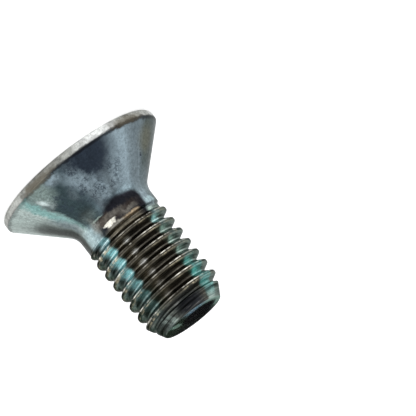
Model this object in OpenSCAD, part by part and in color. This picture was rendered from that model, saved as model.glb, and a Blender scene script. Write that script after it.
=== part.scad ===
// Countersunk bolt with a hexagon socket, a plain neck and a coarse right-hand thread.
// It is one piece of steel: the head and socket are forged, and the thread is rolled.
// The bolt stands on its flat head: z = 0 is the head's face, and +Z runs to the tip.

/* [Whole bolt] */
// Whole length, from the head's flat face to the end of the tip
length = 25; // [22:0.5:60]

/* [Head] */
// Diameter over the cylindrical land round the head
head_d = 24; // [21:0.1:27]
// Height of the cylindrical land
land_h = 1.1; // [0.8:0.1:2]
// Full angle of the conical seat
seat_angle = 90; // [82:1:100]
// Rounding where the flat face meets the land
rim_r = 0.5; // [0.1:0.05:0.7]

/* [Socket] */
// Size of the hexagon socket across its flats
socket_af = 8; // [5:0.5:10]
// Depth of the hexagon socket at its corners
socket_depth = 4.8; // [4.2:0.1:6]
// Full angle of the cone that the punch leaves at the bottom
socket_point_angle = 140; // [118:1:160]
// Depth of the chamfer round the socket's mouth
socket_lead = 0.4; // [0.2:0.05:0.6]

/* [Neck] */
// Diameter of the plain neck
neck_d = 11.3; // [10.6:0.05:11.6]
// Radius of the fillet from the cone to the neck
neck_fillet_r = 2.6; // [0.8:0.1:3.6]
// Length of the neck, from the cone's corner to the first crest
neck_l = 3.1; // [2.4:0.05:6]

/* [Thread] */
// Diameter over the crests, which lies a little under the 12 mm that names the thread
crest_d = 11.7; // [11.6:0.05:14]
// Width of the flat that runs along each crest
crest_flat = 0.37; // [0.2:0.01:0.6]
// Distance from one turn to the next
pitch = 1.75; // [1:0.05:2]
// Angle between the two flanks of a turn
thread_angle = 60; // [50:1:65]
// Turns over which the groove sinks from the surface to its full depth
runout_turns = 0.9; // [0.5:0.1:1.5]
// Height by which the groove starts ahead of the first crest
groove_lead = 0.5; // [0:0.1:0.8]
// Direction in which the groove starts, as an angle about the axis
start_angle = 75; // [0:5:355]

/* [Tip] */
// Diameter at which the tip's taper meets its flat face
tip_d = 8.8; // [7:0.1:9.2]
// Length of the taper at the tip
tip_l = 2.6; // [1.5:0.1:4]
// Rounding of the edge round the tip's face
tip_r = 0.25; // [0.1:0.05:0.6]

/* [Hidden] */
head_r = head_d / 2;
neck_r = neck_d / 2;
crest_r = crest_d / 2;
tip_face_r = tip_d / 2;

// How far a cutter or filler runs past the surfaces that it meets
lap = 1;
// Divisions of every round outline
round_fn = 96;

// The cone's corner with the neck, and the centre of the fillet that rounds it
seat_half = seat_angle / 2;
corner_z = land_h + (head_r - neck_r) / tan(seat_half);
fillet_z = corner_z + neck_fillet_r * tan(seat_half / 2);
fillet_x = neck_r + neck_fillet_r;

// Heights of the neck's end, of the first full crest and of the taper's start
thread_z = corner_z + neck_l;
crest_z = thread_z + crest_r - neck_r;
taper_z = length - tip_l;
taper_slope = atan((crest_r - tip_face_r) / tip_l);

// The socket's corners, and the clearance of its round cuts from those corners
socket_r = socket_af / 2 / cos(30);
socket_clear = 0.1;

// The groove's flat root is a sixth of the pitch wide, as in the metric standard, and
// its flanks open out from there to the crests' flats
root_flat = pitch / 6;
thread_depth = (pitch - crest_flat - root_flat) / 2 / tan(thread_angle / 2);
root_r = crest_r - thread_depth;

// The groove's cutter stands proud of the crests, by less than would make one turn of
// it run into the next, and is a thin sliver where it starts
cut_r = crest_r + pitch / 20;
sliver = 0.02;
// Steps that the cutter takes for each turn, and turns by which it runs off the tip
steps = 32;
run_off = 0.6;
groove_z = thread_z - groove_lead;
last_step = ceil(((length - groove_z) / pitch + run_off) * steps);

// Radius of the groove's bottom, a number of turns from its start
function bottom_r(turn) =
    let (left = max(0, 1 - turn / runout_turns))
    root_r + (cut_r - sliver - root_r) * left * left;

// Half the groove's width at a radius
function half_w(radius) = root_flat / 2 + (radius - root_r) * tan(thread_angle / 2);

// Point of the cutter at a step of the helix, a radius and a height off its middle
function helix_point(step, radius, lift) =
    let (angle = start_angle + 360 * step / steps)
    [radius * cos(angle), radius * sin(angle), groove_z + pitch * step / steps + lift];

// The cutter's four corners at a step: two at the groove's bottom and two outside
function groove_section(step) =
    let (bottom = bottom_r(step / steps))
    [
        helix_point(step, bottom, -half_w(bottom)),
        helix_point(step, bottom, half_w(bottom)),
        helix_point(step, cut_r, half_w(cut_r)),
        helix_point(step, cut_r, -half_w(cut_r)),
    ];

// What a rounding takes off a corner: the wedge about the round's centre, from one
// angle to another, less the round itself
module corner_off(centre, radius, from_angle, to_angle) {
    middle = (from_angle + to_angle) / 2;
    reach = radius + lap;
    translate(centre)
    difference() {
        polygon([
            [0, 0],
            reach * [cos(from_angle), sin(from_angle)],
            2 * reach * [cos(middle), sin(middle)],
            reach * [cos(to_angle), sin(to_angle)],
        ]);
        circle(radius, $fn = round_fn);
    }
}

// Metal that fills the corner between the cone and the neck, up to a round that
// touches both
module neck_fillet() {
    difference() {
        polygon([
            [neck_r - lap, corner_z],
            [fillet_x - neck_fillet_r * cos(seat_half), fillet_z - neck_fillet_r * sin(seat_half)],
            [fillet_x, fillet_z],
            [neck_r, fillet_z],
        ]);
        translate([fillet_x, fillet_z]) circle(neck_fillet_r, $fn = round_fn);
    }
}

// Half section of the blank, with the axis on the left and the head at the bottom
module blank_section() {
    tip_back = tip_r * tan((90 - taper_slope) / 2);
    difference() {
        union() {
            polygon([
                [0, 0], [head_r, 0], [head_r, land_h],
                [neck_r, corner_z], [neck_r, thread_z],
                [crest_r, crest_z], [crest_r, taper_z],
                [tip_face_r, length], [0, length],
            ]);
            neck_fillet();
        }
        corner_off([head_r - rim_r, rim_r], rim_r, -90, 0);
        corner_off([tip_face_r - tip_back, length - tip_r], tip_r, taper_slope, 90);
    }
}

// The socket as its punch leaves it: six walls that end on a cone
module socket() {
    punch_r = socket_r + socket_clear;
    punch_h = socket_depth + punch_r / tan(socket_point_angle / 2);
    intersection() {
        translate([0, 0, -lap]) cylinder(r = socket_r, h = punch_h + 2 * lap, $fn = 6);
        rotate_extrude($fn = round_fn)
            polygon([[0, -lap], [punch_r, -lap], [punch_r, socket_depth], [0, punch_h]]);
    }
}

// The chamfer that leads a key into the socket: it runs from just outside the corners
// down to the middle of the flats
module socket_mouth() {
    mouth_r = socket_r + socket_clear;
    flat_r = socket_af / 2;
    flare = (mouth_r - flat_r) / socket_lead;
    translate([0, 0, -lap])
        cylinder(r1 = mouth_r + lap * flare, r2 = flat_r, h = lap + socket_lead, $fn = round_fn);
}

// The forged blank, with its socket punched into the head
module forged_blank() {
    difference() {
        rotate_extrude($fn = round_fn) blank_section();
        socket();
        socket_mouth();
    }
}

// The helical groove between the turns, which runs off the tip
module thread_groove() {
    sections = [for (step = [0 : last_step]) each groove_section(step)];
    sides = [
        for (step = [0 : last_step - 1], side = [0 : 3])
            let (a = 4 * step + side, b = 4 * step + (side + 1) % 4)
            each [[a, b + 4, b], [a, a + 4, b + 4]]
    ];
    end = 4 * last_step;
    caps = [[0, 1, 2, 3], [end + 3, end + 2, end + 1, end]];
    polyhedron(points = sections, faces = concat(sides, caps), convexity = 12);
}

// The whole bolt: the forged blank with its thread rolled
module bolt() {
    color("lightslategray")
    difference() {
        forged_blank();
        thread_groove();
    }
}

bolt();
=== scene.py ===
import math

import bpy
from mathutils import Matrix, Vector


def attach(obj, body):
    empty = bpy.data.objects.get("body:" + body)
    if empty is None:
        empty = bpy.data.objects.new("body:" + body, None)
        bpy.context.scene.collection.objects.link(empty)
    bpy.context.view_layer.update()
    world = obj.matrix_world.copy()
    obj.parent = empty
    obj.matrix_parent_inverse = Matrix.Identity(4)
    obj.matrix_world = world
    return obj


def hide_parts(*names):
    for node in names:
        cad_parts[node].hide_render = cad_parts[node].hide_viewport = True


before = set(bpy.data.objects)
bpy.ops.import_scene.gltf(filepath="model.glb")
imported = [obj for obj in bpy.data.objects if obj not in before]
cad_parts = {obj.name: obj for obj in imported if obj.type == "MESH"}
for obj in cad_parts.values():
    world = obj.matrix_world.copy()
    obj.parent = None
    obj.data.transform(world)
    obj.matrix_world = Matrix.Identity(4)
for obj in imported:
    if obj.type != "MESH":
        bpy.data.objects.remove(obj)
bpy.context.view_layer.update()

# The bolt is one piece of steel. The head, its hexagon socket and the neck are forged
# from wire, and the thread is rolled on after that, so its crests are blunt and its
# edges rounded. The bolt stands on its flat head, with its tip up.
MM = 0.001
LENGTH = 25 * MM
HEAD_R = 12 * MM
LAND_H = 1.1 * MM
RIM_ROUND = 0.5 * MM
SEAT_ROUND = 0.16 * MM
HALF_SEAT = math.radians(90 / 2)
NECK_R = 5.65 * MM
FILLET_R = 2.6 * MM
NECK_END = 10.55 * MM
SOCKET_FLAT_R = 4 * MM
SOCKET_DEPTH = 4.8 * MM
SOCKET_LEAD = 0.4 * MM
PUNCH_CLEARANCE = 0.1 * MM
HALF_POINT = math.radians(140 / 2)
CREST_R = 5.85 * MM
CREST_FLAT = 0.37 * MM
CREST_ROUND = 0.16 * MM
ROOT_ROUND = 0.3 * MM
PITCH = 1.75 * MM
FLANK = math.radians(60 / 2)
RUNOUT_TURNS = 0.9
GROOVE_START = 10.05 * MM
GROOVE_ANGLE = math.radians(75)
TIP_R = 4.4 * MM
TIP_LENGTH = 2.6 * MM
TIP_ROUND = 0.25 * MM

# Divisions of the mesh: columns round the axis, and rows on each stretch of the section
COLUMNS = 240
ROWS_PER_TURN = 28
FLAT_ROWS, RIM_ROWS, SEAT_ROWS, CONE_ROWS = 8, 8, 6, 22
FILLET_ROWS, NECK_ROWS, TAPER_ROWS, TIP_ROWS = 16, 4, 5, 6

# Kinds of node that come up again and again
MATH, VECTOR, MIX = "ShaderNodeMath", "ShaderNodeVectorMath", "ShaderNodeMix"
MAP_RANGE, NOISE = "ShaderNodeMapRange", "ShaderNodeTexNoise"


def add(tree, kind, *inputs, **settings):
    """Adds a node. Its inputs are nodes or sockets to link, plain values, or None."""
    node = tree.nodes.new(kind)
    for name, value in settings.items():
        setattr(node, name, value)
    sockets = [socket for socket in node.inputs if socket.enabled]
    for socket, value in zip(sockets, inputs):
        if isinstance(value, bpy.types.Node):
            value = next(out for out in value.outputs if out.enabled)
        if isinstance(value, bpy.types.NodeSocket):
            tree.links.new(value, socket)
        elif value is not None:
            socket.default_value = value
    return node


# Half section of the bolt as rows, from the bottom of the socket to the tip's face.
# A row holds its radius and height, whether it follows the hexagon, how its height
# changes as the hexagon draws it in, and whether it climbs with the thread.
corner_r = SOCKET_FLAT_R / math.cos(math.radians(30))
punch_r = corner_r + PUNCH_CLEARANCE
point_slope = 1 / math.tan(HALF_POINT)
lead_slope = SOCKET_LEAD / (punch_r - SOCKET_FLAT_R)
corner_z = LAND_H + HEAD_R - NECK_R
fillet_z = corner_z + FILLET_R * math.tan(HALF_SEAT / 2)
thread_from = 9.2 * MM
thread_to = LENGTH - 0.6 * MM
tip_slope = (CREST_R - TIP_R) / TIP_LENGTH
tip_lean = math.atan(tip_slope)

rows = []
for step in range(FLAT_ROWS + 1):
    radius = corner_r * step / FLAT_ROWS
    rows.append((radius, SOCKET_DEPTH + (punch_r - radius) * point_slope, 1, point_slope, 0))
wall_end = lead_slope * (punch_r - corner_r)
wall_start = SOCKET_DEPTH + (punch_r - corner_r) * point_slope
for step in range(1, FLAT_ROWS + 1):
    share = step / FLAT_ROWS
    slope = point_slope + (lead_slope - point_slope) * share
    rows.append((corner_r, wall_start + (wall_end - wall_start) * share, 1, slope, 0))
for step in range(FLAT_ROWS + 1):
    rows.append((punch_r + (HEAD_R - RIM_ROUND - punch_r) * step / FLAT_ROWS, 0, 0, 0, 0))
for step in range(1, RIM_ROWS + 1):
    turn = math.radians(90 * step / RIM_ROWS)
    rows.append((HEAD_R - RIM_ROUND * (1 - math.sin(turn)),
                 RIM_ROUND * (1 - math.cos(turn)), 0, 0, 0))
seat_back = SEAT_ROUND * math.tan(HALF_SEAT / 2)
for step in range(SEAT_ROWS + 1):
    turn = HALF_SEAT * step / SEAT_ROWS
    rows.append((HEAD_R - SEAT_ROUND * (1 - math.cos(turn)),
                 LAND_H - seat_back + SEAT_ROUND * math.sin(turn), 0, 0, 0))
cone_from, cone_to = rows[-1][1], fillet_z - FILLET_R * math.sin(HALF_SEAT)
for step in range(1, CONE_ROWS):
    height = cone_from + (cone_to - cone_from) * step / CONE_ROWS
    rows.append((HEAD_R - (height - LAND_H), height, 0, 0, 0))
for step in range(FILLET_ROWS + 1):
    turn = HALF_SEAT * (1 - step / FILLET_ROWS)
    rows.append((NECK_R + FILLET_R * (1 - math.cos(turn)),
                 fillet_z - FILLET_R * math.sin(turn), 0, 0, 0))
for step in range(1, NECK_ROWS + 1):
    rows.append((NECK_R, fillet_z + (thread_from - fillet_z) * step / NECK_ROWS, 0, 0, 0))
row_step = PITCH / ROWS_PER_TURN
thread_rows = math.ceil((thread_to - thread_from + PITCH) / row_step)
for step in range(1, thread_rows):
    rows.append((NECK_R, thread_from - PITCH + row_step * step, 0, 0, 1))
tip_back = TIP_ROUND * math.tan((math.pi / 2 - tip_lean) / 2)
taper_to = LENGTH - tip_back * math.cos(tip_lean)
for step in range(TAPER_ROWS):
    height = thread_to + (taper_to - thread_to) * step / TAPER_ROWS
    rows.append((TIP_R + (LENGTH - height) * tip_slope, height, 0, 0, 0))
for step in range(TIP_ROWS + 1):
    turn = tip_lean + (math.pi / 2 - tip_lean) * step / TIP_ROWS
    rows.append((TIP_R - tip_back + TIP_ROUND * math.cos(turn),
                 LENGTH - TIP_ROUND * (1 - math.sin(turn)), 0, 0, 0))
for step in range(1, FLAT_ROWS + 1):
    rows.append(((TIP_R - tip_back) * (1 - step / FLAT_ROWS), LENGTH, 0, 0, 0))

section = bpy.data.meshes.new("bolt_section")
section.from_pydata([(row[0], 0, row[1]) for row in rows],
                    [(start, start + 1) for start in range(len(rows) - 1)], [])
for item, name in enumerate(("hexagon", "slope", "thread"), start=2):
    stored = section.attributes.new(name, "FLOAT", "POINT")
    stored.data.foreach_set("value", [row[item] for row in rows])

# The tree turns the section about the axis. Rows of the thread climb one pitch in a
# turn, so the mesh runs along the crests, and their radius is that of the rolled
# groove or of the blank, whichever is nearer the axis.
tree = bpy.data.node_groups.new("turn_and_roll", "GeometryNodeTree")
tree.interface.new_socket("Section", in_out="INPUT", socket_type="NodeSocketGeometry")
sizes = {
    "Columns": COLUMNS, "Crest radius": CREST_R, "Crest flat": CREST_FLAT, "Pitch": PITCH,
    "Flank angle": FLANK, "Run-out turns": RUNOUT_TURNS, "Groove start": GROOVE_START,
    "Groove angle": GROOVE_ANGLE, "Neck radius": NECK_R, "Neck end": NECK_END,
    "Tip radius": TIP_R, "Tip slope": tip_slope, "Length": LENGTH,
    "Thread from": thread_from, "Thread to": thread_to,
    "Crest rounding": CREST_ROUND, "Root rounding": ROOT_ROUND,
}
for name in sizes:
    kind = "NodeSocketInt" if name == "Columns" else "NodeSocketFloat"
    tree.interface.new_socket(name, in_out="INPUT", socket_type=kind)
tree.interface.new_socket("Finish", in_out="INPUT", socket_type="NodeSocketMaterial")
tree.interface.new_socket("Bolt", in_out="OUTPUT", socket_type="NodeSocketGeometry")
given = add(tree, "NodeGroupInput").outputs

# A grid with one line of points for each column, and a point on it for each row
row_count = add(tree, "GeometryNodeAttributeDomainSize", given["Section"]).outputs["Point Count"]
line_count = add(tree, MATH, given["Columns"], 1.0, operation="ADD")
grid = add(tree, "GeometryNodeMeshGrid", 1.0, 1.0, line_count, row_count)
index = add(tree, "GeometryNodeInputIndex")
column = add(tree, MATH, index, 0.5, operation="ADD")
column = add(tree, MATH, column, row_count, operation="DIVIDE")
column = add(tree, MATH, column, operation="FLOOR")
passed = add(tree, MATH, column, row_count, operation="MULTIPLY")
row_index = add(tree, MATH, index, passed, operation="SUBTRACT")
turn_share = add(tree, MATH, column, given["Columns"], operation="DIVIDE")
angle = add(tree, MATH, turn_share, math.tau, operation="MULTIPLY")

position = add(tree, "GeometryNodeInputPosition")
point = add(tree, "GeometryNodeSampleIndex", given["Section"], position, row_index,
            data_type="FLOAT_VECTOR")
point = add(tree, "ShaderNodeSeparateXYZ", point).outputs
follows = {}
for name in ("hexagon", "slope", "thread"):
    stored = add(tree, "GeometryNodeInputNamedAttribute", name, data_type="FLOAT")
    follows[name] = add(tree, "GeometryNodeSampleIndex", given["Section"], stored, row_index,
                        data_type="FLOAT")

# Rows of the socket: a hexagon's radius falls from its corners to the middle of a flat
sixth = add(tree, MATH, angle, math.tau / 6, operation="FLOORED_MODULO")
sixth = add(tree, MATH, sixth, math.tau / 12, operation="SUBTRACT")
drawn_in = add(tree, MATH, sixth, operation="COSINE")
drawn_in = add(tree, MATH, math.cos(math.tau / 12), drawn_in, operation="DIVIDE")
drawn_in = add(tree, MIX, follows["hexagon"], 1.0, drawn_in)
plain_r = add(tree, MATH, point["X"], drawn_in, operation="MULTIPLY")
plain_z = add(tree, MATH, point["X"], plain_r, operation="SUBTRACT")
plain_z = add(tree, MATH, plain_z, follows["slope"], point["Z"], operation="MULTIPLY_ADD")

# Rows of the thread: the height climbs with the angle, between two level rings. The
# phase counts the turns of groove up to a point, so it is whole along the root.
climb = add(tree, MATH, turn_share, given["Pitch"], point["Z"], operation="MULTIPLY_ADD")
climb = add(tree, MATH, climb, given["Thread to"], operation="MINIMUM")
climb = add(tree, MATH, climb, given["Thread from"], operation="MAXIMUM")
start_share = add(tree, MATH, angle, given["Groove angle"], operation="SUBTRACT")
start_share = add(tree, MATH, start_share, math.tau, operation="DIVIDE")
phase = add(tree, MATH, climb, given["Groove start"], operation="SUBTRACT")
phase = add(tree, MATH, phase, given["Pitch"], operation="DIVIDE")
phase = add(tree, MATH, phase, start_share, operation="SUBTRACT")
nearest = add(tree, MATH, phase, operation="ROUND")
off_root = add(tree, MATH, phase, nearest, operation="SUBTRACT")
off_root = add(tree, MATH, off_root, operation="ABSOLUTE")
off_root = add(tree, MATH, off_root, given["Pitch"], operation="MULTIPLY")
turns = add(tree, MATH, nearest, start_share, operation="ADD")

# The groove: its root is a sixth of the pitch wide, as in the metric standard, and it
# sinks to its full depth over the turns of the run-out
flank_slope = add(tree, MATH, given["Flank angle"], operation="TANGENT")
root_half = add(tree, MATH, given["Pitch"], 12.0, operation="DIVIDE")
groove_half = add(tree, MATH, given["Pitch"], given["Crest flat"], operation="SUBTRACT")
groove_half = add(tree, MATH, groove_half, 2.0, operation="DIVIDE")
depth = add(tree, MATH, groove_half, root_half, operation="SUBTRACT")
depth = add(tree, MATH, depth, flank_slope, operation="DIVIDE")
root_r = add(tree, MATH, given["Crest radius"], depth, operation="SUBTRACT")
start_depth = add(tree, MATH, given["Pitch"], 30.0, operation="DIVIDE")
start_depth = add(tree, MATH, depth, start_depth, operation="ADD")
to_sink = add(tree, MATH, turns, given["Run-out turns"], operation="DIVIDE")
to_sink = add(tree, MATH, 1.0, to_sink, operation="SUBTRACT")
to_sink = add(tree, MATH, 0.0, to_sink, operation="MAXIMUM")
to_sink = add(tree, MATH, to_sink, to_sink, operation="MULTIPLY")
bottom = add(tree, MATH, start_depth, to_sink, root_r, operation="MULTIPLY_ADD")
flank = add(tree, MATH, off_root, root_half, operation="SUBTRACT")
flank = add(tree, MATH, flank, flank_slope, operation="DIVIDE")
flank = add(tree, MATH, root_r, flank, operation="ADD")
groove = add(tree, MATH, bottom, flank, given["Root rounding"], operation="SMOOTH_MAX")
not_begun = add(tree, MATH, turns, 0.0, operation="LESS_THAN")
groove = add(tree, MATH, groove, not_begun, operation="ADD")

# The blank: it steps up from the neck to the crests, and tapers at the tip
blank = add(tree, MATH, climb, given["Neck end"], operation="SUBTRACT")
blank = add(tree, MATH, given["Neck radius"], blank, operation="ADD")
blank = add(tree, MATH, given["Neck radius"], blank, given["Crest rounding"],
            operation="SMOOTH_MAX")
blank = add(tree, MATH, blank, given["Crest radius"], given["Crest rounding"],
            operation="SMOOTH_MIN")
taper = add(tree, MATH, given["Length"], climb, operation="SUBTRACT")
taper = add(tree, MATH, taper, given["Tip slope"], given["Tip radius"],
            operation="MULTIPLY_ADD")
blank = add(tree, MATH, blank, taper, given["Crest rounding"], operation="SMOOTH_MIN")
rolled_r = add(tree, MATH, blank, groove, given["Crest rounding"], operation="SMOOTH_MIN")

final_r = add(tree, MIX, follows["thread"], plain_r, rolled_r)
final_z = add(tree, MIX, follows["thread"], plain_z, climb)
final_x = add(tree, MATH, angle, operation="COSINE")
final_x = add(tree, MATH, final_r, final_x, operation="MULTIPLY")
final_y = add(tree, MATH, angle, operation="SINE")
final_y = add(tree, MATH, final_r, final_y, operation="MULTIPLY")
place = add(tree, "ShaderNodeCombineXYZ", final_x, final_y, final_z)
shape = add(tree, "GeometryNodeSetPosition", grid, None, place)
shape = add(tree, "GeometryNodeMergeByDistance", shape, None, 0.001 * MM)
shape = add(tree, "GeometryNodeSetShadeSmooth", shape, None, True, domain="FACE")
edge_angle = add(tree, "GeometryNodeInputMeshEdgeAngle")
sharp = add(tree, MATH, edge_angle, math.radians(28), operation="GREATER_THAN")
shape = add(tree, "GeometryNodeSetShadeSmooth", shape, sharp, False, domain="EDGE")
shape = add(tree, "GeometryNodeRealizeInstances", shape)
shape = add(tree, "GeometryNodeSetMaterial", shape, None, given["Finish"])
add(tree, "NodeGroupOutput", shape)

# Zinc plate with a thin blue-white passivation, over forged and rolled steel. It is a
# bright metal with a satin gloss, and its film gives it mint, teal and slate patches.
# Oil from the rolling has stained the thread brown down one side. Much of the light and
# dark in the colour is painted: painted reflections in bands round the head and thread,
# painted shade, and painted highlights on the crests and the land, which are partly rubbed pale.


def linear(colour):
    """Linear red, green, blue and alpha of an sRGB hex colour."""
    parts = [int(colour[i:i + 2], 16) / 255 for i in (1, 3, 5)]
    return [p / 12.92 if p <= 0.04045 else ((p + 0.055) / 1.055) ** 2.4 for p in parts] + [1.0]


MINT, TEAL, GLINT = linear("#becdc8"), linear("#86bcb7"), linear("#dcebe8")
GREEN_SLATE, SLATE, PALE_BLUE = linear("#3e4d50"), linear("#5a6a70"), linear("#9caeb6")
STEEL_GREY, NAVY, OLIVE = linear("#808e94"), linear("#363f4a"), linear("#767767")
SHADE, BLACK_BROWN, BROWN = linear("#3d413e"), linear("#1f2025"), linear("#3a322c")
BRONZE, RUBBED_AND_HIGHLIGHT, PALE_GREY = linear("#a5937a"), linear("#efece0"), linear("#e4e6e4")
ICE, DARK_OLIVE, GREY_GREEN = linear("#9cb1b5"), linear("#4a534a"), linear("#7e8b85")
GREY_BROWN, STAIN_AND_SHADE, DEEP_STAIN_AND_SHADE = linear("#8e8b83"), linear("#635e52"), linear("#4b4841")
STONE, CLAY, MOSS_SLATE = linear("#b4b6b1"), linear("#8d8e89"), linear("#5c6866")
POOL, REED, DULL_POOL = linear("#abd0d2"), linear("#a9bcb4"), linear("#8eb5b5")
STRAW = linear("#c4ba9e")

zinc = bpy.data.materials.new("zinc_plate_blue_white")
zinc.use_nodes = True
nodes = zinc.node_tree
nodes.nodes.clear()

# The surface laid flat: 1 across is 6.25 degrees about the axis, which is 1 mm on the
# cone, and 1 up is 1 mm. An angle is 0 at -Y, and grows toward +X. The back, from about
# 97 degrees on, loses the front's patches by 143.
DEGREES_ACROSS = 6.25
BACK_FROM, BACK_TO = 1.7, 2.5
where = add(nodes, "ShaderNodeTexCoord").outputs["Object"]
in_mm = add(nodes, VECTOR, where, (1000, 1000, 1000), operation="MULTIPLY")
xyz = add(nodes, "ShaderNodeSeparateXYZ", in_mm).outputs
outward = add(nodes, VECTOR, in_mm, (1, 1, 0), operation="MULTIPLY")
from_axis = add(nodes, VECTOR, outward, operation="LENGTH").outputs["Value"]
frontward = add(nodes, MATH, xyz["Y"], -1.0, operation="MULTIPLY")
bearing = add(nodes, MATH, xyz["X"], frontward, operation="ARCTAN2")
across = add(nodes, MATH, bearing, math.degrees(1) / DEGREES_ACROSS, operation="MULTIPLY")
flat = add(nodes, "ShaderNodeCombineXYZ", across, xyz["Z"], 0.0)
behind = add(nodes, MATH, bearing, operation="ABSOLUTE")
behind = add(nodes, MAP_RANGE, behind, BACK_FROM, BACK_TO, interpolation_type="SMOOTHSTEP")

# Edges of the patches, of film and of painted light, wander every 2 mm or so, and are torn every
# 0.8 mm
drifts = []
for scale, detail, roughness, reach in ((0.45, 3.0, 0.6, 0.5), (1.3, 6.0, 0.7, 1.8)):
    drift = add(nodes, NOISE, in_mm, scale, detail, roughness).outputs["Color"]
    drift = add(nodes, VECTOR, drift, (0.5, 0.5, 0.5), operation="SUBTRACT")
    drifts.append(add(nodes, VECTOR, drift, (reach, reach, reach), operation="MULTIPLY"))
wandered = add(nodes, VECTOR, flat, drifts[0], operation="ADD")
torn = add(nodes, VECTOR, wandered, drifts[1], operation="ADD")
half_torn = add(nodes, MIX, 0.4, wandered, torn, data_type="VECTOR")

# Place in the thread: the turns of groove up to a point, which are whole along the
# root, and how far the point lies from the middle of its crest, in mm
pitch_mm = PITCH / MM
first_root = (GROOVE_START - PITCH * GROOVE_ANGLE / math.tau) / MM
bearing_share = add(nodes, MATH, bearing, math.tau, operation="DIVIDE")
bearing_share = add(nodes, MATH, bearing_share, 0.25, operation="SUBTRACT")
turns = add(nodes, MATH, xyz["Z"], first_root, operation="SUBTRACT")
turns = add(nodes, MATH, turns, pitch_mm, operation="DIVIDE")
turns = add(nodes, MATH, turns, bearing_share, operation="SUBTRACT")
from_crest = add(nodes, MATH, turns, 0.5, operation="ADD")
from_crest = add(nodes, MATH, from_crest, 0.5, operation="PINGPONG")
from_crest = add(nodes, MATH, from_crest, pitch_mm, operation="MULTIPLY")
on_thread = add(nodes, MAP_RANGE, xyz["Z"], 10.3, 10.7)


def round_the_axis(edge, stops):
    """Colours round the bolt's front half, from right to left, at angles in degrees."""
    place = add(nodes, "ShaderNodeSeparateXYZ", edge).outputs["X"]
    place = add(nodes, MAP_RANGE, place, -90 / DEGREES_ACROSS, 90 / DEGREES_ACROSS, 0.0, 1.0)
    ramp = add(nodes, "ShaderNodeValToRGB", place)
    points = ramp.color_ramp.elements
    while len(points) < len(stops):
        points.new(0.5)
    for stop, (angle, colour) in zip(points, stops):
        stop.position = (angle + 90) / 180
        stop.color = colour if isinstance(colour, list) else (colour, colour, colour, 1)
    return ramp


# Round the head, the film's mint, teal and slate lie under light and dark bands that are painted
# reflections
head = round_the_axis(half_torn, (
    (-90, MOSS_SLATE), (-70, MOSS_SLATE), (-62, STEEL_GREY), (-50, STEEL_GREY),
    (-42, PALE_BLUE), (-30, PALE_BLUE), (-18, STEEL_GREY), (-5, PALE_BLUE),
    (2, STEEL_GREY), (9, SLATE), (18, GREEN_SLATE), (38, GREEN_SLATE),
    (46, MINT), (90, MINT)))

# In the thread, the grooves are painted teal-pale at the sides, a painted reflection, and the
# film is olive nearer the crests; the middle is dark, partly brown stain and partly painted
# dark reflection, and it is painted darkest in the grooves as shade
groove = round_the_axis(half_torn, (
    (-90, GREY_GREEN), (-64, GREY_GREEN), (-55, REED), (-47, REED), (-42, DEEP_STAIN_AND_SHADE),
    (-4, DEEP_STAIN_AND_SHADE), (6, STAIN_AND_SHADE), (15, STAIN_AND_SHADE), (26, DEEP_STAIN_AND_SHADE), (31, POOL), (46, POOL),
    (55, MOSS_SLATE), (90, DARK_OLIVE)))
side = round_the_axis(half_torn, (
    (-90, GREY_GREEN), (-60, GREY_GREEN), (-46, MOSS_SLATE), (-40, STAIN_AND_SHADE), (14, STAIN_AND_SHADE),
    (26, DEEP_STAIN_AND_SHADE), (31, DULL_POOL), (44, DULL_POOL), (52, DARK_OLIVE), (90, DARK_OLIVE)))
near_crest = add(nodes, MAP_RANGE, from_crest, 0.34, 0.2)
thread = add(nodes, MIX, near_crest, groove, side, data_type="RGBA")
colour = add(nodes, MIX, on_thread, head, thread, data_type="RGBA")

# Behind, the film is plain, and only clouded, every 4 to 5 mm
cloud = add(nodes, NOISE, in_mm, 0.22, 3.0, 0.6)
cloud = add(nodes, MAP_RANGE, cloud, 0.4, 0.6)
plain = add(nodes, MIX, cloud, STEEL_GREY, MINT, data_type="RGBA")
dark = add(nodes, MIX, cloud, DARK_OLIVE, MOSS_SLATE, data_type="RGBA")
plain = add(nodes, MIX, on_thread, plain, dark, data_type="RGBA")
colour = add(nodes, MIX, behind, colour, plain, data_type="RGBA")
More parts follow.
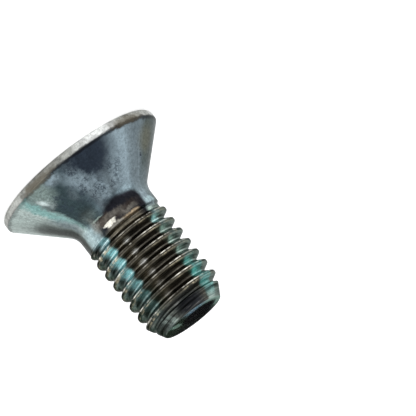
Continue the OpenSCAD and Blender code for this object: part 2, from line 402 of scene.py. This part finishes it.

# Patches of film and stain, and of painted reflection, highlight and shade: colour, strength,
# whether the edge is ragged, how soft the edge is, whether it is squarish, the middle's angle
# and height, the half width, the half height and the lean
for shade, strength, edge, soft, squarish, angle, height, half_angle, half_height, lean in (
    (REED, 0.55, half_torn, 1.2, 0, 31, 1.8, 9, 1.6, 0),
    (STEEL_GREY, 0.7, half_torn, 1.2, 0, 17, 1.8, 6, 0.7, 0),
    (TEAL, 0.75, torn, 1.2, 1, 46, 3.4, 4, 2.4, -8),
    (TEAL, 0.5, torn, 1.2, 1, 44, 6.4, 4, 1.6, 0),
    # Painted highlights: a white glint on the cone's left
    (GLINT, 0.4, torn, 1.4, 0, 35.5, 3.2, 3.5, 0.8, 20),
    (GLINT, 1.0, wandered, 1.4, 0, 37, 2.9, 1.6, 0.5, 20),
    # Painted dark reflection low on the cone's left, running down to the thread
    (SHADE, 0.95, half_torn, 1.3, 0, 72, 7.2, 17, 3.6, 0),
    (SHADE, 0.55, half_torn, 1.0, 0, 73, 4.6, 12, 0.9, 0),
    (SHADE, 0.95, half_torn, 1.2, 0, 70, 10, 12, 2.6, 0),
    (STEEL_GREY, 0.6, torn, 1.2, 1, 52, 6.4, 6, 1.6, 0),
    (PALE_BLUE, 0.8, torn, 1.0, 0, 17, 1.75, 3.5, 0.4, 0),
    # Painted dark reflection: a navy patch on the cone right of the middle
    (NAVY, 1.0, torn, 1.0, 0, -12, 2.2, 18, 2.4, 0),
    (PALE_BLUE, 0.9, torn, 1.2, 0, 2, 4.1, 13, 1.0, -45),
    # Darker bands on the fillet between cone and neck: painted shade
    (SLATE, 0.6, torn, 1.2, 0, -14, 7.2, 12, 0.5, 0),
    (NAVY, 0.5, torn, 1.4, 0, -14, 7.6, 18, 0.5, 0),
    (SLATE, 0.7, half_torn, 1.2, 0, -34, 7.6, 16, 0.9, 0),
    (GREEN_SLATE, 0.8, half_torn, 0.8, 0, 29, 7.2, 15, 1.2, 0),
    (SHADE, 0.6, half_torn, 1.2, 0, 27, 7.2, 12, 0.8, 0),
    (STEEL_GREY, 0.35, torn, 1.2, 0, 16, 4.5, 4, 0.8, 0),
    (PALE_BLUE, 0.6, torn, 1.2, 0, -9, 6.1, 5, 0.7, 0),
    (OLIVE, 0.7, half_torn, 1.2, 0, -72, 3.2, 11, 1.2, 0),
    (STEEL_GREY, 0.7, half_torn, 1.2, 0, -78, 7.5, 14, 1.8, 0),
    (NAVY, 0.9, torn, 0.6, 0, -63, 4.7, 2, 0.12, 0),
    # Painted pale reflection on the neck's left side
    (ICE, 0.8, half_torn, 0.8, 1, 43, 9.8, 14, 1.6, 0),
    # Painted dark reflection: a black arch on the neck's front
    (BLACK_BROWN, 1.0, wandered, 0.3, 1, -24, 9.8, 26, 2.3, 0),
    (BLACK_BROWN, 1.0, half_torn, 0.4, 0, -12, 9.8, 28, 2.6, 0),
    (BLACK_BROWN, 0.95, torn, 0.9, 1, 12, 9.5, 16, 1.3, 0),
    (BROWN, 0.6, torn, 1.2, 1, -14, 9.3, 24, 0.6, 0),
    (REED, 0.7, half_torn, 1.0, 1, 21, 8.2, 8, 0.1, 0),
    (BROWN, 0.9, torn, 1.0, 1, 15, 8.9, 9, 0.6, 0),
    (GREY_BROWN, 0.55, torn, 1.6, 0, 29, 8.9, 6, 0.9, 0),
    (GREY_BROWN, 0.3, torn, 1.4, 1, 2, 9.0, 16, 0.35, 0),
    (GREY_BROWN, 0.35, torn, 1.4, 1, -22, 9.6, 12, 0.3, 0),
    # Painted highlight: a white patch on the neck's right
    (ICE, 0.9, torn, 0.6, 1, -62, 9.8, 11, 0.5, 0),
    (STAIN_AND_SHADE, 1.0, torn, 0.8, 1, -10, 11.2, 27, 0.9, -1),
    (GREY_BROWN, 0.9, half_torn, 0.8, 1, -6, 10.4, 19, 0.25, -2),
    # Painted highlights: a bronze line where the groove starts, and a white fleck on the neck
    (BRONZE, 0.9, half_torn, 1.0, 1, -22, 10.3, 12, 0.25, 0),
    (RUBBED_AND_HIGHLIGHT, 0.85, half_torn, 0.5, 1, 10, 9.6, 10, 0.17, 1),
    (RUBBED_AND_HIGHLIGHT, 0.85, half_torn, 0.5, 1, 8, 9.9, 7, 0.2, 1),
    (DARK_OLIVE, 0.8, half_torn, 1.4, 0, 42, 22, 24, 3.5, 0),
    # Painted pale reflection on the thread's right side
    (TEAL, 1.0, half_torn, 0.7, 1, -54, 21.6, 12, 2.6, 0),
    (POOL, 0.6, half_torn, 1.0, 0, -52, 12.5, 8, 1.0, 0),
    # Painted shade on the tip's taper, darkest right of the middle
    (SHADE, 0.95, half_torn, 1.0, 1, 14, 24.0, 58, 1.4, 0),
    (BLACK_BROWN, 0.85, half_torn, 1.0, 1, -12, 24.2, 22, 0.9, 0),
    (GREY_GREEN, 0.5, torn, 1.2, 1, 27, 24.5, 5, 0.5, -30),
    (GREY_GREEN, 0.4, torn, 1.2, 1, 40, 24.0, 5, 0.3, -30),
):
    middle = (angle / DEGREES_ACROSS, height, 0)
    half_size = (half_angle / DEGREES_ACROSS, half_height, 1)
    spot = add(nodes, "ShaderNodeMapping", edge, middle, (0, 0, math.radians(lean)), half_size,
               vector_type="TEXTURE")
    if squarish:
        spot = add(nodes, VECTOR, spot, spot, operation="MULTIPLY")
    reach = add(nodes, VECTOR, spot, operation="LENGTH").outputs["Value"]
    if squarish:
        reach = add(nodes, MATH, reach, operation="SQRT")
    cover = add(nodes, MAP_RANGE, reach, 1 + soft / 2, 1 - soft / 2, 0.0, strength,
                interpolation_type="SMOOTHSTEP")
    colour = add(nodes, MIX, cover, colour, shade, data_type="RGBA")

# Streaks: the heading die drew them down the cone, and the rolling dies drew them
# round the thread, where they follow a coil so that they stay along the groove
down = add(nodes, VECTOR, outward, operation="NORMALIZE")
down = add(nodes, VECTOR, down, (11, 11, 1), operation="MULTIPLY")
climb = add(nodes, VECTOR, in_mm, (0, 0, 0.15), operation="MULTIPLY")
down = add(nodes, VECTOR, down, climb, operation="ADD")
down = add(nodes, NOISE, down, 1.0, 4.0, 0.6)
down = add(nodes, MAP_RANGE, down, 0.3, 0.7, 0.85, 1.15)
coil_r = 2.1
coil = add(nodes, MATH, turns, math.tau, operation="MULTIPLY")
coil_x = add(nodes, MATH, coil, operation="COSINE")
coil_x = add(nodes, MATH, coil_x, coil_r, operation="MULTIPLY")
coil_y = add(nodes, MATH, coil, operation="SINE")
coil_y = add(nodes, MATH, coil_y, coil_r, operation="MULTIPLY")
coil_z = add(nodes, MATH, xyz["X"], 0.3, operation="MULTIPLY")
coil_z = add(nodes, MATH, xyz["Z"], 0.3, coil_z, operation="MULTIPLY_ADD")
coil_w = add(nodes, MATH, xyz["Y"], 0.3, operation="MULTIPLY")
rolled = add(nodes, "ShaderNodeCombineXYZ", coil_x, coil_y, coil_z)
rolled = add(nodes, NOISE, rolled, coil_w, 1.0, 3.0, 0.7, noise_dimensions="4D")
rolled = add(nodes, MAP_RANGE, rolled, 0.3, 0.7, 0.15, 1.85)
mottle = add(nodes, NOISE, in_mm, 2.6, 5.0, 0.75)
mottle = add(nodes, MAP_RANGE, mottle, 0.35, 0.65, 0.7, 1.3)
streaks = add(nodes, MIX, on_thread, down, rolled)
streaks = add(nodes, MATH, streaks, mottle, operation="MULTIPLY")
colour = add(nodes, VECTOR, colour, streaks, operation="MULTIPLY")

# Near the front, a stripe of painted highlight runs down the grooves in short pale dashes.
# It is strongest in the roots, and broken up by the rolling dies' streaks.
HIGHLIGHT_STRIPE_AT = 6.875
highlight_stripe = add(nodes, "ShaderNodeSeparateXYZ", torn).outputs["X"]
highlight_stripe = add(nodes, MATH, highlight_stripe, HIGHLIGHT_STRIPE_AT / DEGREES_ACROSS, operation="SUBTRACT")
highlight_stripe = add(nodes, MATH, highlight_stripe, operation="ABSOLUTE")
highlight_stripe = add(nodes, MAP_RANGE, highlight_stripe, 1.4, 0.2)
for fade in (
    add(nodes, MAP_RANGE, from_crest, 0.4, 0.7),
    add(nodes, MAP_RANGE, mottle, 0.8, 1.1, 0.4, 1.0),
    add(nodes, MAP_RANGE, rolled, 0.6, 1.3, 0.15, 1.0),
    add(nodes, MAP_RANGE, xyz["Z"], 11.3, 12.0),
    add(nodes, MAP_RANGE, xyz["Z"], 25, 15),
):
    highlight_stripe = add(nodes, MATH, highlight_stripe, fade, operation="MULTIPLY")
colour = add(nodes, MIX, highlight_stripe, colour, PALE_GREY, data_type="RGBA")

# Scratches that run round the thread show the metal, less so on the tip's taper, and the
# flat tops of the crests are painted darker, a painted dark reflection
taper_z = (LENGTH - TIP_LENGTH) / MM
on_taper = add(nodes, MAP_RANGE, xyz["Z"], taper_z, taper_z + 1.2, 1.0, 0.6)
scratch = add(nodes, MAP_RANGE, rolled, 1.3, 1.7, 0.0, 0.55)
scratch = add(nodes, MATH, scratch, on_thread, operation="MULTIPLY")
scratch = add(nodes, MATH, scratch, on_taper, operation="MULTIPLY")
colour = add(nodes, MIX, scratch, colour, GREY_BROWN, data_type="RGBA")
crest_top_dark_reflection = add(nodes, MAP_RANGE, from_crest, 0.12, 0.19, 0.38, 1.0)
crest_top_dark_reflection = add(nodes, MIX, on_thread, 1.0, crest_top_dark_reflection)
colour = add(nodes, VECTOR, colour, crest_top_dark_reflection, operation="MULTIPLY")

# Fine cracks and specks in the film on the cone's front, in three places and in
# clusters of 1 mm or so. The cells between the cracks are half a millimetre wide.
cracks = add(nodes, "ShaderNodeTexVoronoi", torn, 2.2, feature="DISTANCE_TO_EDGE")
cracks = add(nodes, MAP_RANGE, cracks, 0.16, 0.04, 0.0, 0.8)
clusters = add(nodes, NOISE, in_mm, 0.9, 3.0, 0.6)
clusters = add(nodes, MAP_RANGE, clusters, 0.46, 0.54)
cracks = add(nodes, MATH, cracks, clusters, operation="MULTIPLY")
cracked = 0.0
for angle, height, half_angle, half_height in (
    (-9, 4.6, 32, 2.6), (3, 1.9, 6, 1.6), (29, 4.3, 6, 2.6),
):
    middle = (angle / DEGREES_ACROSS, height, 0)
    half_size = (half_angle / DEGREES_ACROSS, half_height, 1)
    spot = add(nodes, "ShaderNodeMapping", wandered, middle, None, half_size,
               vector_type="TEXTURE")
    spot = add(nodes, VECTOR, spot, operation="LENGTH").outputs["Value"]
    spot = add(nodes, MAP_RANGE, spot, 1.2, 0.6)
    cracked = add(nodes, MATH, cracked, spot, operation="MAXIMUM")
cracks = add(nodes, MATH, cracks, cracked, operation="MULTIPLY")
colour = add(nodes, MIX, cracks, colour, NAVY, data_type="RGBA")

# The two edges of a crest carry thin bright lines, partly rubbed pale by handling and mostly
# painted highlight. They shine at set angles round the axis, and at the left the full crest is
# painted light.
tipward = add(nodes, MATH, turns, operation="FRACT")
tipward = add(nodes, MATH, tipward, 0.5, operation="GREATER_THAN")
line_at = add(nodes, MAP_RANGE, tipward, 0.0, 1.0, 0.13, 0.22)
line = add(nodes, MATH, from_crest, line_at, operation="SUBTRACT")
line = add(nodes, MATH, line, operation="ABSOLUTE")
line = add(nodes, MAP_RANGE, line, 0.11, 0.06)
fainter = add(nodes, MAP_RANGE, tipward, 0.0, 1.0, 1.0, 0.75)
line = add(nodes, MATH, line, fainter, operation="MULTIPLY")
whole = round_the_axis(wandered, (
    (-90, 0.1), (-70, 0.3), (-40, 0.2), (-36, 0), (26, 0), (34, 1), (56, 1), (62, 0.1),
    (90, 0.1)))
near_head = add(nodes, MAP_RANGE, xyz["Z"], 18.0, 14.0, 0.2, 1.0)
whole = add(nodes, MATH, whole, near_head, operation="MULTIPLY")
on_crest = add(nodes, MATH, from_crest, 0.2, operation="LESS_THAN")
whole = add(nodes, MATH, whole, on_crest, operation="MULTIPLY")
line = add(nodes, MATH, line, whole, operation="MAXIMUM")
shine = round_the_axis(wandered, (
    (-90, 0.25), (-60, 0.4), (-42, 0.4), (-35, 1.0), (-20, 1.0), (-12, 0.2), (0, 0.1),
    (3, 0.4), (8, 0.4), (12, 0.08), (27, 0.06), (34, 0.8), (56, 0.8), (63, 0.25),
    (90, 0.25)))
line_breakup = add(nodes, NOISE, in_mm, 1.1, 4.0, 0.7)
for fade in (
    add(nodes, MAP_RANGE, xyz["Z"], 10.6, 10.9),
    add(nodes, MAP_RANGE, from_axis, CREST_R / MM - 0.55, CREST_R / MM - 0.25),
    shine,
    add(nodes, MAP_RANGE, line_breakup, 0.43, 0.57, 0.0, 1.0),
):
    line = add(nodes, MATH, line, fade, operation="MULTIPLY")
pale = add(nodes, MIX, tipward, RUBBED_AND_HIGHLIGHT, STRAW, data_type="RGBA")
colour = add(nodes, MIX, line, colour, pale, data_type="RGBA")

# The land round the head is pale, partly rubbed and partly a painted reflection with a painted
# highlight band; a painted shadow lies in a line along its upper edge, and grime in two brown
# patches
land_z = LAND_H / MM
land_wear_and_sheen = round_the_axis(half_torn, (
    (-90, STONE), (-82, PALE_GREY), (-72, STONE), (-42, STONE), (-33, PALE_GREY),
    (-13, PALE_GREY), (-4, STONE), (8, CLAY), (34, CLAY), (44, STONE), (90, STONE)))
worn = add(nodes, NOISE, in_mm, 1.1, 5.0, 0.75)
worn = add(nodes, MAP_RANGE, worn, 0.35, 0.65, 0.5, 1.25)
land_wear_and_sheen = add(nodes, VECTOR, land_wear_and_sheen, worn, operation="MULTIPLY")
on_land = add(nodes, MAP_RANGE, xyz["Z"], land_z + 0.1, land_z - 0.02)
colour = add(nodes, MIX, on_land, colour, land_wear_and_sheen, data_type="RGBA")
seam_shadow = add(nodes, "ShaderNodeSeparateXYZ", half_torn).outputs["Y"]
seam_shadow = add(nodes, MATH, seam_shadow, land_z + 0.1, operation="SUBTRACT")
seam_shadow = add(nodes, MATH, seam_shadow, operation="ABSOLUTE")
seam_shadow = add(nodes, MAP_RANGE, seam_shadow, 0.32, 0.12)
seam_shadow_strength = round_the_axis(wandered, (
    (-90, 0.5), (-62, 0.8), (-50, 1.0), (-38, 1.0), (-30, 0.8), (0, 0.8), (13, 0.8),
    (20, 0.5), (38, 0.5), (44, 0.35), (90, 0.5)))
seam_shadow = add(nodes, MATH, seam_shadow, seam_shadow_strength, operation="MULTIPLY")
seam_shadow_ends = add(nodes, MAP_RANGE, xyz["Z"], land_z + 0.5, land_z + 0.3)
seam_shadow = add(nodes, MATH, seam_shadow, seam_shadow_ends, operation="MULTIPLY")
colour = add(nodes, MIX, seam_shadow, colour, BLACK_BROWN, data_type="RGBA")
grime_ends = add(nodes, MAP_RANGE, xyz["Z"], land_z + 0.5, land_z + 0.2)
for angle, half_angle, height in ((25, 14, 0.9), (-49, 15, 0.95)):
    middle = (angle / DEGREES_ACROSS, height, 0)
    half_size = (half_angle / DEGREES_ACROSS, 0.6, 1)
    spot = add(nodes, "ShaderNodeMapping", torn, middle, None, half_size,
               vector_type="TEXTURE")
    spot = add(nodes, VECTOR, spot, operation="LENGTH").outputs["Value"]
    grime = add(nodes, MAP_RANGE, spot, 1.3, 0.6, 0.0, 0.75)
    grime = add(nodes, MATH, grime, grime_ends, operation="MULTIPLY")
    colour = add(nodes, MIX, grime, colour, STAIN_AND_SHADE, data_type="RGBA")

# The tip's face is grey round its edge, painted lighter at the near side and dark behind as a
# painted reflection, with a pale nick; its middle is painted dark, the shade of a recess that is
# not modelled
tip_r = TIP_R / MM
past_taper = add(nodes, MATH, xyz["Z"], taper_z, operation="GREATER_THAN")
face = add(nodes, MAP_RANGE, from_axis, tip_r, tip_r - 0.1)
face = add(nodes, MATH, face, past_taper, operation="MULTIPLY")
ring = round_the_axis(half_torn, (
    (-90, REED), (-55, REED), (-25, STEEL_GREY), (0, STEEL_GREY), (20, DARK_OLIVE),
    (90, DARK_OLIVE)))
ring = add(nodes, MIX, behind, ring, SHADE, data_type="RGBA")
nick = add(nodes, "ShaderNodeMapping", in_mm, (2.4, -1.9, 0), (0, 0, math.radians(25)),
           (0.6, 1.2, 1000), vector_type="TEXTURE")
nick = add(nodes, VECTOR, nick, operation="LENGTH").outputs["Value"]
nick = add(nodes, MATH, nick, add(nodes, NOISE, in_mm, 2.0, 4.0, 0.6), operation="ADD")
nick = add(nodes, MAP_RANGE, nick, 1.9, 1.2, 0.0, 0.6)
ring = add(nodes, MIX, nick, ring, REED, data_type="RGBA")
tip_middle_shade = add(nodes, VECTOR, in_mm, (1.0, 0.3, 0), operation="ADD")
tip_middle_shade = add(nodes, VECTOR, tip_middle_shade, (1, 1, 0), operation="MULTIPLY")
tip_middle_shade = add(nodes, VECTOR, tip_middle_shade, operation="LENGTH").outputs["Value"]
tip_middle_shade = add(nodes, MATH, tip_middle_shade, add(nodes, NOISE, in_mm, 1.3, 4.0, 0.6), operation="ADD")
tip_middle_shade = add(nodes, MAP_RANGE, tip_middle_shade, 3.4, 2.7)
ring = add(nodes, MIX, tip_middle_shade, ring, BLACK_BROWN, data_type="RGBA")
colour = add(nodes, MIX, face, colour, ring, data_type="RGBA")

# Inside the socket and its mouth, the film is plain as well
near_axis = add(nodes, MATH, from_axis, punch_r / MM + 0.13, operation="LESS_THAN")
inside = add(nodes, MATH, xyz["Z"], corner_z / MM, operation="LESS_THAN")
inside = add(nodes, MATH, near_axis, inside, operation="MULTIPLY")
film = add(nodes, MIX, cloud, SLATE, STEEL_GREY, data_type="RGBA")
film = add(nodes, VECTOR, film, mottle, operation="MULTIPLY")
colour = add(nodes, MIX, inside, colour, film, data_type="RGBA")

# The film is a little rougher where it is darker. It shines less toward grazing angles
# on the stained thread and the tip's face than on the head.
roughness = add(nodes, MAP_RANGE, mottle, 0.72, 1.28, 0.4, 0.26)
shader = add(nodes, "ShaderNodeBsdfPrincipled", colour, 1.0, roughness)
relief = add(nodes, MATH, rolled, on_thread, operation="MULTIPLY")
relief = add(nodes, MATH, relief, 0.8, mottle, operation="MULTIPLY_ADD")
bumps = add(nodes, "ShaderNodeBump")
bumps.inputs["Strength"].default_value = 0.3
bumps.inputs["Distance"].default_value = 0.02 * MM
nodes.links.new(relief.outputs["Value"], bumps.inputs["Height"])
nodes.links.new(bumps.outputs["Normal"], shader.inputs["Normal"])
dull = add(nodes, MATH, on_thread, face, operation="ADD")
dull = add(nodes, MATH, dull, 0.5, operation="MULTIPLY")
sheen = add(nodes, MIX, dull, linear("#cccccc"), linear("#4a4a4a"), data_type="RGBA")
sheen = next(out for out in sheen.outputs if out.enabled)
nodes.links.new(sheen, shader.inputs["Specular Tint"])
add(nodes, "ShaderNodeOutputMaterial", shader)

# The tree is run on the section once, and its result is the bolt's plain mesh
carrier = bpy.data.objects.new("bolt_form", section)
bpy.context.scene.collection.objects.link(carrier)
rolling = carrier.modifiers.new("turn_and_roll", "NODES")
rolling.node_group = tree
for item in tree.interface.items_tree:
    if item.in_out == "INPUT" and item.name in sizes:
        rolling[item.identifier] = sizes[item.name]
    elif item.name == "Finish":
        rolling[item.identifier] = zinc
shaped = carrier.evaluated_get(bpy.context.evaluated_depsgraph_get())
mesh = bpy.data.meshes.new_from_object(shaped)
mesh.name = "countersunk_bolt"
bpy.data.objects.remove(carrier)
bolt = bpy.data.objects.new("countersunk_bolt", mesh)
bpy.context.scene.collection.objects.link(bolt)
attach(bolt, "root")
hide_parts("bolt")

# The floor is a plain white sheet. It is seen and mirrored as white, and still takes
# the bolt's soft shadow, because only part of that white comes from the sheet itself.
FLOOR_HALF = 3
FLOOR_GLOW = 0.55
floor_mesh = bpy.data.meshes.new("floor")
floor_mesh.from_pydata(
    [(-FLOOR_HALF, -FLOOR_HALF, 0), (FLOOR_HALF, -FLOOR_HALF, 0),
     (FLOOR_HALF, FLOOR_HALF, 0), (-FLOOR_HALF, FLOOR_HALF, 0)], [], [(0, 1, 2, 3)])
floor = bpy.data.objects.new("floor", floor_mesh)
bpy.context.scene.collection.objects.link(floor)
paper = bpy.data.materials.new("matt_white_paper")
paper.use_nodes = True
nodes = paper.node_tree
nodes.nodes.clear()
ray = add(nodes, "ShaderNodeLightPath").outputs
seen = add(nodes, MATH, ray["Is Camera Ray"], ray["Is Glossy Ray"], operation="ADD",
           use_clamp=True)
seen = add(nodes, MATH, seen, ray["Is Transmission Ray"], operation="ADD", use_clamp=True)
glow = add(nodes, MATH, seen, FLOOR_GLOW, operation="MULTIPLY")
glow = add(nodes, "ShaderNodeEmission", linear("#ffffff"), glow)
sheet = add(nodes, "ShaderNodeBsdfDiffuse", linear("#d9d9d9"), 0.0)
add(nodes, "ShaderNodeOutputMaterial", add(nodes, "ShaderNodeAddShader", glow, sheet))
floor_mesh.materials.append(paper)

# Soft light: a pale room that is dimmer overhead, and three large diffusers round it
world = bpy.data.worlds.new("room")
world.use_nodes = True
bpy.context.scene.world = world
nodes = world.node_tree
nodes.nodes.clear()
upward = add(nodes, "ShaderNodeTexCoord").outputs["Generated"]
upward = add(nodes, "ShaderNodeSeparateXYZ", upward).outputs["Z"]
dimmer = add(nodes, MAP_RANGE, upward, 0.0, 1.0, 0.0, 1.0, interpolation_type="SMOOTHSTEP")
room = add(nodes, MIX, dimmer, linear("#f8f8f8"), linear("#cbcdd0"), data_type="RGBA")
add(nodes, "ShaderNodeOutputWorld", add(nodes, "ShaderNodeBackground", room, 1.0))

for name, spot, width, power in (
    ("left_diffuser", (0.8, -0.5, 0.7), 0.9, 4.0),
    ("right_diffuser", (-0.9, -0.4, 0.6), 0.8, 3.0),
    ("back_diffuser", (0.1, 0.9, 0.7), 0.9, 4.0),
):
    lamp = bpy.data.lights.new(name, "AREA")
    lamp.shape, lamp.size, lamp.energy = "SQUARE", width, power
    holder = bpy.data.objects.new(name, lamp)
    holder.location = spot
    holder.rotation_euler = (-Vector(spot)).to_track_quat("-Z", "Y").to_euler()
    bpy.context.scene.collection.objects.link(holder)

# The camera has the photograph's pose, found by matching the bolt's outline: it looks
# from a little above the head, turned so that the tip points down to the right
TILT = math.radians(11.859)
ROLL = math.radians(51.952)
PHOTO_PIXELS = 416
FOCAL_PIXELS = 4215.68
ORIGIN_FROM_CAMERA = Vector((-16.970, -5.233, 547.208)) * MM
axis = Vector((math.cos(TILT) * math.cos(ROLL), math.cos(TILT) * math.sin(ROLL),
               -math.sin(TILT)))
sideways = Vector((-math.sin(ROLL), math.cos(ROLL), 0))
from_camera = Matrix((sideways, axis.cross(sideways), axis))
lens_down = Matrix(((1, 0, 0), (0, -1, 0), (0, 0, -1)))
camera = bpy.data.cameras.new("camera")
camera.angle = 2 * math.atan(PHOTO_PIXELS / 2 / FOCAL_PIXELS)
camera.clip_start, camera.clip_end = 0.05, 20
viewer = bpy.data.objects.new("camera", camera)
viewer.matrix_world = Matrix.LocRotScale(
    -(from_camera @ ORIGIN_FROM_CAMERA), (from_camera @ lens_down).to_quaternion(), None)
bpy.context.scene.collection.objects.link(viewer)
bpy.context.scene.camera = viewer

bpy.context.scene.view_settings.view_transform = "Standard"
